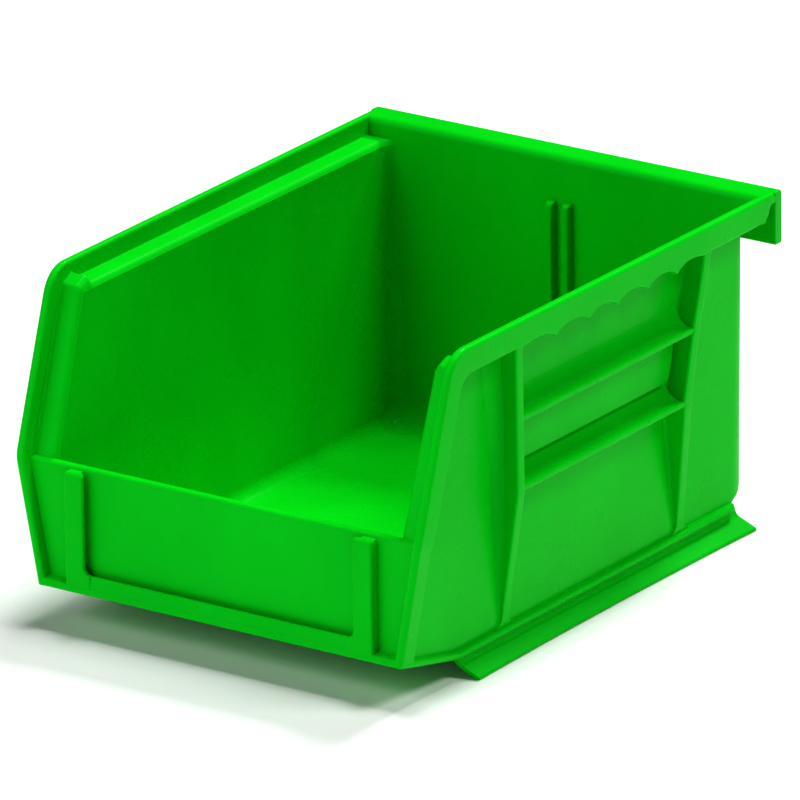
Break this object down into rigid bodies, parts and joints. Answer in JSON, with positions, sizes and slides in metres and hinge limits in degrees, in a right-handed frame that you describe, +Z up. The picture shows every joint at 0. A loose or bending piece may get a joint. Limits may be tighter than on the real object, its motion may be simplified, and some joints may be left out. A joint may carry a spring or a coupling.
{
  "type": "stackable storage bin",
  "caption": "Small open-top parts bin with a low raked hopper front, rim ledges and base rails for stacking, a rear hanging lip and a label holder",
  "frame": {"origin": "on the plane that the base rails stand on, under the middle of the overall box", "axes": "+X to the right seen from the hopper front, +Y from the hopper front to the hanging lip at the back, +Z up"},
  "size_m": [0.105, 0.137, 0.0762],
  "materials": {
    "moulded_green": "injection moulded polypropylene, satin, smooth rounded edges"
  },
  "bodies": {
    "root": {"back_divider_rib_left": "moulded_green", "back_divider_rib_right": "moulded_green", "back_rim": "moulded_green", "back_wall": "moulded_green", "bottom_band_left": "moulded_green", "bottom_band_right": "moulded_green", "floor_front_ramp": "moulded_green", "floor_panel": "moulded_green", "front_divider_rib_left": "moulded_green", "front_divider_rib_right": "moulded_green", "front_edge_flange_left": "moulded_green", "front_edge_flange_right": "moulded_green", "front_ledge_left": "moulded_green", "front_ledge_right": "moulded_green", "front_lip": "moulded_green", "front_rib_gusset_left": "moulded_green", "front_rib_gusset_right": "moulded_green", "front_rib_left": "moulded_green", "front_rib_right": "moulded_green", "front_wall": "moulded_green", "hanger_lip": "moulded_green", "label_rib_left": "moulded_green", "label_rib_right": "moulded_green", "label_shelf": "moulded_green", "lower_panel_rib_left": "moulded_green", "lower_panel_rib_right": "moulded_green", "name_panel_left": "moulded_green", "name_panel_right": "moulded_green", "rear_rib_left": "moulded_green", "rear_rib_right": "moulded_green", "rim_band_left": "moulded_green", "rim_band_right": "moulded_green", "side_wall_left": "moulded_green", "side_wall_right": "moulded_green", "stack_ledge_left": "moulded_green", "stack_ledge_right": "moulded_green", "stacking_rail_left": "moulded_green", "stacking_rail_right": "moulded_green", "upper_panel_rib_left": "moulded_green", "upper_panel_rib_right": "moulded_green"}
  },
  "joints": []
}
